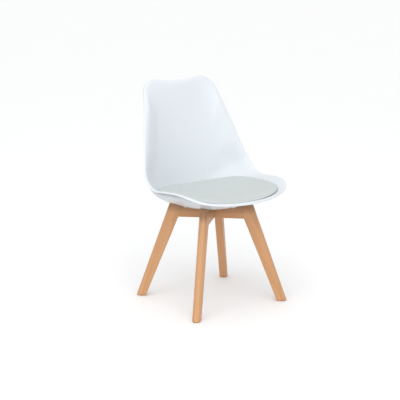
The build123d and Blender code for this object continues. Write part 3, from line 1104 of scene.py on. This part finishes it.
@dataclass
class SeatPad:
    """The upholstered pad: a swelled closed form, the turned-in edge of its cover and the staples that hold it."""

    form: SeatForm
    width: float = 434.0
    length: float = 377.0
    front: float = -226.0
    edge_z: float = 427.5
    edge_rise: float = 19.5
    corner_rise: float = 30.0
    crown: float = 9.0
    roll: float = 4.0
    board_level: float = 10.0
    board_thickness: float = 4.0
    board_inset: float = 14.0
    board_gap: float = 0.4
    foot_gap: float = 1.0
    turn_in: float = 18.0
    cover: float = 1.2
    # Swelling: how far the cover starts below its final form, how far it may move, and the cloth's settings.
    sag: float = 0.5
    swell: float = 4.5
    pressure: float = 4.0
    stiffness: float = 22.0
    bending: float = 3.0
    mass: float = 0.3
    frames: int = 20
    evening: int = 24
    cells: int = 72
    staple_count: int = 24
    staple: tuple[float, float, float] = (9.5, 4.0, 0.28)
    # Right half of the outline seen from above, from the front to the rear (x, y).
    outline: tuple = (
        (0, -226), (72, -221), (128, -208), (171, -183), (196, -142), (209, -95), (215, -47), (217, 0),
        (208, 42), (186, 80), (150, 112), (100, 136), (50, 148), (0, 151),
    )
    # The rim below the crown, which ends crown_inset in: how far in, drop from the top, share of the way to the foot.
    crown_inset: float = 20.0
    rim: tuple = ((15, 0.2, 0), (11, 0.6, 0), (7.5, 1.3, 0), (5, 2.4, 0), (1.2, 4.2, 0.05),
                  (1.2, 5.0, 0.45), (5, 5.0, 0.85), (7.5, 5.0, 1.0), (11, 5.0, 1.0))

    def loop(self, inset: float, count: int = 120) -> np.ndarray:
        """Return the outline, moved in, as evenly spaced points of the plan.

        Args:
            inset: how far in from the pad's edge.
            count: number of points.

        Returns:
            An array of (x, y) rows in the chair's frame.
        """
        half = np.array(self.outline, float)
        whole = np.concatenate([half, half[-2:0:-1] * (-1, 1)])
        ring = np.concatenate([whole[-3:], whole, whole[:4]])
        knots = run_lengths(ring)
        curve = Spline(knots, ring)
        where = np.linspace(knots[3], knots[3 + len(whole)], count, endpoint=False)
        points, ahead = curve(where), curve(where + 0.5) - curve(where - 0.5)
        ahead /= np.linalg.norm(ahead, axis=1, keepdims=True)
        moved = points + inset * np.stack([-ahead[:, 1], ahead[:, 0]], axis=1)
        return moved + (0.0, self.form.cross_y)

    def top(self, x: np.ndarray, y: np.ndarray) -> np.ndarray:
        """Return the height of the pad's top before it swells.

        Args:
            x: distances to the side.
            y: distances to the rear.

        Returns:
            The height over each point of the plan.
        """
        across = np.abs(x / self.width * 2)
        along = (y - self.form.cross_y - self.front) / self.length * 2 - 1
        power = np.where(along < 0, 3.0, 2.4)
        out = (across**power + np.abs(along) ** power) ** (1 / power)
        lifted = self.corner_rise * (across * np.maximum(-along, 0)) ** 3
        edge = self.edge_z + self.edge_rise * across**2 + lifted
        return edge + self.crown * (1 - out**2) - self.roll * np.minimum(out, 1.1) ** 12 - self.sag

    def build(self) -> None:
        """Make the pad, the turned-in edge and the staples."""
        material = Finish.PAD.value.material()
        pad = self.stuffed(material)
        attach(pad, ROOT)
        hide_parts("cushion_cover", "cushion_foam")
        hem = self.hem(material)
        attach(hem, ROOT)
        staples = self.staples()
        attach(staples, ROOT)
        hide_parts("cover_staples")
        log.info("seat_pad: %d faces", len(pad.data.polygons))

    def sheet(self, inset: float, height: Callable[[np.ndarray, np.ndarray], np.ndarray]) -> np.ndarray:
        """Return a square grid of points that fills the outline.

        Args:
            inset: how far in from the pad's edge the grid ends.
            height: gives the height over points of the plan.

        Returns:
            An array of (cells + 1, cells + 1, 3) points whose border is the inset outline.
        """
        middle = np.array([0.0, self.form.cross_y + self.front + self.length / 2])
        side = np.linspace(-1, 1, self.cells + 1)
        v, u = np.meshgrid(side, side, indexing="ij")
        disc = u * np.sqrt(1 - v * v / 2), v * np.sqrt(1 - u * u / 2)
        angle, share = np.arctan2(disc[1], disc[0]), np.hypot(*disc)
        border = self.loop(inset, 20 * self.cells) - middle
        turns = np.arctan2(border[:, 1], border[:, 0])
        order = np.argsort(turns)
        spread = np.interp(angle, turns[order], np.hypot(*border[order].T), period=2 * math.pi)
        flat = middle + (share * spread)[..., None] * np.stack([np.cos(angle), np.sin(angle)], axis=-1)
        z = height(flat[..., 0].ravel(), flat[..., 1].ravel()).reshape(share.shape)
        return np.concatenate([flat, z[..., None]], axis=-1)

    def rim_ring(self, border: Sequence[tuple[int, int]], inset: float, drop: float, share: float) -> np.ndarray:
        """Return one ring of the rim.

        Args:
            border: the grid places of a sheet's border, in order.
            inset: how far in from the pad's edge.
            drop: how far below the top.
            share: how much of the rest of the way it goes down to the foot.

        Returns:
            The ring's points.
        """
        outer = self.sheet(inset, self.top)
        flat = np.array([outer[i, j] for i, j in border])
        low = self.form.under(flat[:, 0], flat[:, 1], self.form.skin_high + self.foot_gap)[1]
        high = np.maximum(flat[:, 2] - np.minimum(drop, 0.5 * (flat[:, 2] - low)), low)
        flat[:, 2] = high * (1 - share) + low * share
        return flat

    def stuffed(self, material: bpy.types.Material) -> bpy.types.Object:
        """Make the pad and swell it.

        Args:
            material: the cover's material.

        Returns:
            The pad.
        """
        floor = self.board_level + self.board_thickness + self.board_gap
        count, side = self.cells, self.cells + 1
        border = [(0, j) for j in range(count)] + [(i, count) for i in range(count)]
        border += [(count, j) for j in range(count, 0, -1)] + [(i, 0) for i in range(count, 0, -1)]
        crown = self.sheet(self.crown_inset, self.top)
        base = self.sheet(self.board_inset + 1, lambda x, y: self.form.under(x, y, floor)[1])
        rings = [self.rim_ring(border, *row) for row in self.rim]
        points = np.concatenate([crown.reshape(-1, 3), base.reshape(-1, 3)] + rings) * MM
        size, around = side * side, len(border)
        starts = [start + i * side + j for start in (0, size) for i in range(count) for j in range(count)]
        faces = [[k, k + 1, k + side + 1, k + side] for k in starts]
        edge = [i * side + j for i, j in border]
        walls = [range(2 * size + n * around, 2 * size + (n + 1) * around) for n in range(len(rings))]
        bands = [edge, *walls, [size + k for k in edge]]
        for high, low in zip(bands, bands[1:]):
            faces += ring_faces(high, low)
        pad = mesh_object("seat_pad", points, faces, material)
        self.swelled(pad, [*range(size, 2 * size), *walls[-3], *walls[-2], *walls[-1]])
        rounded(pad)
        pad.data.polygons.foreach_set("use_smooth", [True] * len(pad.data.polygons))
        return pad

    def swelled(self, pad: bpy.types.Object, fixed: list[int]) -> None:
        """Swell the pad with a cloth simulation whose underside is held.

        Args:
            pad: the pad, whose points are moved.
            fixed: numbers of the points that stay.
        """
        mesh, scene = pad.data, bpy.context.scene
        pad.vertex_groups.new(name="held").add(fixed, 1.0, "REPLACE")
        cloth = pad.modifiers.new("swell", "CLOTH")
        settings = cloth.settings
        settings.vertex_group_mass = "held"
        settings.use_pressure, settings.uniform_pressure_force = True, self.pressure
        settings.effector_weights.gravity = 0.0
        settings.quality, settings.mass = 6, self.mass
        settings.tension_stiffness = settings.compression_stiffness = self.stiffness
        settings.bending_stiffness = self.bending
        cloth.point_cache.frame_start, cloth.point_cache.frame_end = 1, self.frames
        for number in range(1, self.frames + 1):
            scene.frame_set(number)
        swollen = pad.evaluated_get(bpy.context.evaluated_depsgraph_get()).to_mesh()
        start, end = np.empty((2, len(mesh.vertices) * 3), np.float32)
        mesh.vertices.foreach_get("co", start)
        swollen.vertices.foreach_get("co", end)
        move = self.evened_out(mesh, (end - start).reshape(-1, 3), fixed)
        far = np.linalg.norm(move, axis=1, keepdims=True)
        limit = self.swell * MM
        move *= limit * np.tanh(far / limit) / np.maximum(far, 1e-9)
        pad.modifiers.clear()
        scene.frame_set(1)
        pad.vertex_groups.clear()
        mesh.vertices.foreach_set("co", start + move.ravel())
        mesh.update()
        log.info("seat_pad swelled: most %.1f mm, mean %.1f mm", float(far.max()) / MM, float(far.mean()) / MM)

    def evened_out(self, mesh: bpy.types.Mesh, move: np.ndarray, fixed: list[int]) -> np.ndarray:
        """Spread each point's move over its neighbours.

        Args:
            mesh: the mesh whose points move.
            move: how far each point moves.
            fixed: numbers of the points that stay.

        Returns:
            The evened moves.
        """
        ends = np.array([edge.vertices[:] for edge in mesh.edges])
        pinned = np.zeros((len(move), 1), bool)
        pinned[fixed] = True
        degree = np.bincount(ends.ravel(), minlength=len(move))[:, None]
        for _ in range(self.evening):
            total = np.zeros_like(move)
            np.add.at(total, ends[:, 0], move[ends[:, 1]])
            np.add.at(total, ends[:, 1], move[ends[:, 0]])
            move = np.where(pinned, move, 0.5 * move + 0.5 * total / degree)
        return move

    def hem(self, material: bpy.types.Material) -> bpy.types.Object:
        """Make the edge of the cover that is folded in under the board.

        Args:
            material: the cover's material.

        Returns:
            The folded edge, a thin closed ring.
        """
        low, high = self.board_level - self.cover, self.board_level - 0.05
        outer, inner = self.board_inset - 2, self.board_inset + self.turn_in
        under = [(outer, low), (outer + 6, low), (inner - 5, low), (inner, low + 0.3)]
        over = [(inner, high - 0.3), (inner - 5, high), (outer + 6, high), (outer, high)]
        rings = []
        for inset, level in under + over:
            flat = self.loop(inset)
            rings.append(np.column_stack([flat, self.form.under(*flat.T, level)[1]]) * MM)
        return mesh_object("cover_turned_in_edge", *closed_rings(rings, poles=False), material)

    def staple_seed(self) -> bpy.types.Mesh:
        """Make the points the staples stand on, each with the form's normal and the way the edge runs.

        Returns:
            A mesh of loose points.
        """
        path = self.loop(self.board_inset + self.turn_in / 2, self.staple_count)
        level = self.board_level - self.cover
        t, height = self.form.under(*path.T, level)
        spots = np.column_stack([path, height])
        normals = self.form.point(t, path[:, 0], level + 1.0) - self.form.point(t, path[:, 0], level)
        seed = bpy.data.meshes.new("staple_spots")
        seed.from_pydata([tuple(spot * MM) for spot in spots], [], [])
        for label, rows in (("up", normals), ("ahead", np.roll(spots, -1, axis=0) - np.roll(spots, 1, axis=0))):
            rows = rows / np.linalg.norm(rows, axis=1, keepdims=True)
            seed.attributes.new(label, "FLOAT_VECTOR", "POINT").data.foreach_set("vector", rows.ravel())
        return seed

    def staples(self) -> bpy.types.Object:
        """Make the ring of staples with a geometry tree that follows the folded edge.

        Returns:
            One mesh of all the staples.
        """
        width, leg, wire = (size * MM for size in self.staple)
        tree = Grower("cover_staple_ring", Width=width, Leg=leg, Wire=wire, Seed=7)
        graph, given = tree.graph, tree.given
        half = graph.math("MULTIPLY", given["Width"], 0.5)
        minus = graph.math("MULTIPLY", half, -1.0)
        corners = [
            graph.add("ShaderNodeCombineXYZ", {"X": x, "Z": z}).outputs[0]
            for x, z in ((minus, given["Leg"]), (minus, 0.0), (half, 0.0), (half, given["Leg"]))
        ]
        lines = graph.add("GeometryNodeJoinGeometry")
        for start, end in reversed(list(zip(corners, corners[1:]))):
            line = graph.add("GeometryNodeCurvePrimitiveLine", {"Start": start, "End": end})
            graph.set(lines, {0: line.outputs[0]})
        circle = graph.add("GeometryNodeCurvePrimitiveCircle", {"Resolution": 8, "Radius": given["Wire"]})
        bent = graph.add(
            "GeometryNodeCurveToMesh",
            {"Curve": lines.outputs[0], "Profile Curve": circle.outputs[0], "Fill Caps": True},
        )
        up, ahead = (
            graph.add("GeometryNodeInputNamedAttribute", {"Name": name}, data_type="FLOAT_VECTOR").outputs[0]
            for name in ("up", "ahead")
        )
        along = graph.add("FunctionNodeAlignRotationToVector", {"Vector": ahead}, axis="X")
        upright = graph.add(
            "FunctionNodeAlignRotationToVector", {"Rotation": along.outputs[0], "Vector": up},
            axis="Z", pivot_axis="X",
        )
        wobble = graph.add(
            "FunctionNodeRandomValue", {0: (0.0, 0.0, -0.12), 1: (0.0, 0.0, 0.12), "Seed": given["Seed"]},
            data_type="FLOAT_VECTOR",
        )
        turn = graph.add("FunctionNodeEulerToRotation", {0: wobble.outputs[0]})
        turned = graph.add(
            "FunctionNodeRotateRotation", {"Rotation": upright.outputs[0], "Rotate By": turn.outputs[0]},
            rotation_space="LOCAL",
        )
        return tree.grow(
            given["Geometry"], bent.outputs[0], Finish.WIRE.value.material(), self.staple_seed(),
            Rotation=turned.outputs[0],
        )


@dataclass
class WoodenBase:
    """The beech rails, legs and dowels, dressed with grain along each piece."""

    angle: float = 47.4
    lean: float = 0.38
    # For each corner: its side along x and y, and how much paler its leg is.
    corners: dict[str, tuple[int, int, float]] = field(
        default_factory=lambda: {
            "front_left": (1, -1, 0.0), "front_right": (-1, -1, 0.03), "rear_left": (1, 1, -0.03),
            "rear_right": (-1, 1, 0.015),
        }
    )
    rail_light: Colour = (0.55, 0.29, 0.135)
    rail_dark: Colour = (0.41, 0.185, 0.075)

    def out(self, side_x: int, side_y: int) -> Vector:
        """Return the level direction from the crossing to a corner."""
        angle = math.radians(self.angle)
        return Vector((side_x * math.sin(angle), side_y * math.cos(angle), 0.0))

    def dress(self) -> None:
        """Give every wooden piece beech that runs along it."""
        for corner, (side_x, side_y, paler) in self.corners.items():
            grain = self.out(side_x, side_y) * self.lean - Vector((0.0, 0.0, 1.0))
            light, dark = (tuple(c * (1.0 + paler) for c in tone) for tone in (Beech.light, Beech.dark))
            put_on(Beech(f"beech_{corner}", grain, light=light, dark=dark).material(), [f"{corner}_leg"])
        for name, side_x in (("lower", 1), ("upper", -1)):
            wood = Beech(f"beech_{name}_rail", self.out(side_x, -1), light=self.rail_light, dark=self.rail_dark)
            put_on(wood.material(), [f"cross_rail_{name}"])
        put_on(Beech("beech_dowels", self.out(1, -1), figure=0.3, lacquer=0.0).material(), ["leg_dowels"])


@dataclass
class Fixings:
    """The metal and plastic pieces that hold the chair together, which keep their CAD shapes."""

    glides: tuple[str, ...] = ("front_left_glide", "front_right_glide", "rear_left_glide", "rear_right_glide")

    def dress(self) -> None:
        """Give each piece its finish."""
        Finish.ZINC.dress("frame_bolts", "bolt_washers")
        Finish.BRASS.dress("threaded_inserts")
        Finish.WIRE.dress("glide_nails")
        Finish.CLIP.dress("cushion_clips")
        Finish.BOARD.dress("cushion_board")
        Finish.GLIDE.dress(*self.glides)


@dataclass
class Studio:
    """Pale floor, soft lights and the camera."""

    azimuth: float = -35.64
    elevation: float = 13.81
    distance: float = 3.8838
    lens: float = 93.3
    target: tuple[float, float, float] = (-0.0345, 0.0357, 0.3842)
    floor_half: float = 40.0
    floor_tone: Colour = (0.96, 0.965, 0.97)
    sky: Colour = (1.0, 1.0, 1.0)
    sky_power: float = 0.76
    # Square lamps: name, place, side and power. They face lamp_target.
    lamps: tuple = (("key", (-1.6, -2.4, 1.8), 1.4, 9.0), ("top", (-0.2, 0.2, 3.0), 1.6, 5.0))
    lamp_target: tuple[float, float, float] = (0.0, 0.0, 0.45)
    # The sun, which is soft like a large window: power, angle across and direction of its light.
    window_power: float = 1.25
    window_angle: float = 75.0
    window_aim: tuple[float, float, float] = (0.62, 0.68, -1.0)

    def build(self) -> None:
        """Make the floor, the lights and the camera."""
        self.floor()
        self.lights()
        self.camera()
        bpy.context.scene.view_settings.view_transform = "Standard"

    def floor(self) -> None:
        """Make the floor."""
        half = self.floor_half
        mesh = bpy.data.meshes.new("floor")
        mesh.from_pydata([(-half, -half, 0), (half, -half, 0), (half, half, 0), (-half, half, 0)], [], [(0, 1, 2, 3)])
        floor = bpy.data.objects.new("floor", mesh)
        bpy.context.collection.objects.link(floor)
        skin = Skin("pale_floor")
        tint = skin.group(mottle(), Scale=2.0, Low=0.55, High=0.65)
        skin.set(skin.shader, {"Base Color": rgba(self.floor_tone), "Roughness": tint["Value"]})
        mesh.materials.append(skin.material)

    def lights(self) -> None:
        """Light the world and make the lamps and the sun."""
        world = bpy.data.worlds.new("studio")
        world.use_nodes = True
        backdrop = world.node_tree.nodes["Background"]
        backdrop.inputs[0].default_value = rgba(self.sky)
        backdrop.inputs[1].default_value = self.sky_power
        bpy.context.scene.world = world
        for name, place, size, power in self.lamps:
            data = bpy.data.lights.new(name, "AREA")
            data.size, data.energy = size, power
            self.hung(name, data, place, Vector(self.lamp_target) - Vector(place))
        data = bpy.data.lights.new("sky_window", "SUN")
        data.energy, data.angle = self.window_power, math.radians(self.window_angle)
        self.hung("sky_window", data, (0.0, 0.0, 0.0), Vector(self.window_aim))

    def camera(self) -> None:
        """Make the camera and make it the scene's."""
        data = bpy.data.cameras.new("camera")
        data.lens, data.sensor_width = self.lens, 36.0
        turn, lift = math.radians(self.azimuth), math.radians(self.elevation)
        back = Vector((math.sin(turn) * math.cos(lift), -math.cos(turn) * math.cos(lift), math.sin(lift)))
        bpy.context.scene.camera = self.hung("camera", data, Vector(self.target) + back * self.distance, -back)

    def hung(self, name: str, data: bpy.types.ID, place: Sequence[float], aim: Vector) -> bpy.types.Object:
        """Put a lamp or a camera in the scene.

        Args:
            name: the object's name.
            data: the lamp or camera.
            place: where it is.
            aim: which way it looks.

        Returns:
            The object.
        """
        made = bpy.data.objects.new(name, data)
        made.location = place
        made.rotation_euler = aim.to_track_quat("-Z", "Y").to_euler()
        bpy.context.collection.objects.link(made)
        return made


def main() -> None:
    """Build and dress the chair, then light it."""
    logging.basicConfig(level=logging.INFO, format="%(name)s %(message)s")
    form = SeatForm()
    MouldedSeat(form).build()
    SeatPad(form).build()
    WoodenBase().dress()
    Fixings().dress()
    Studio().build()


if __name__ == "__main__":
    main()
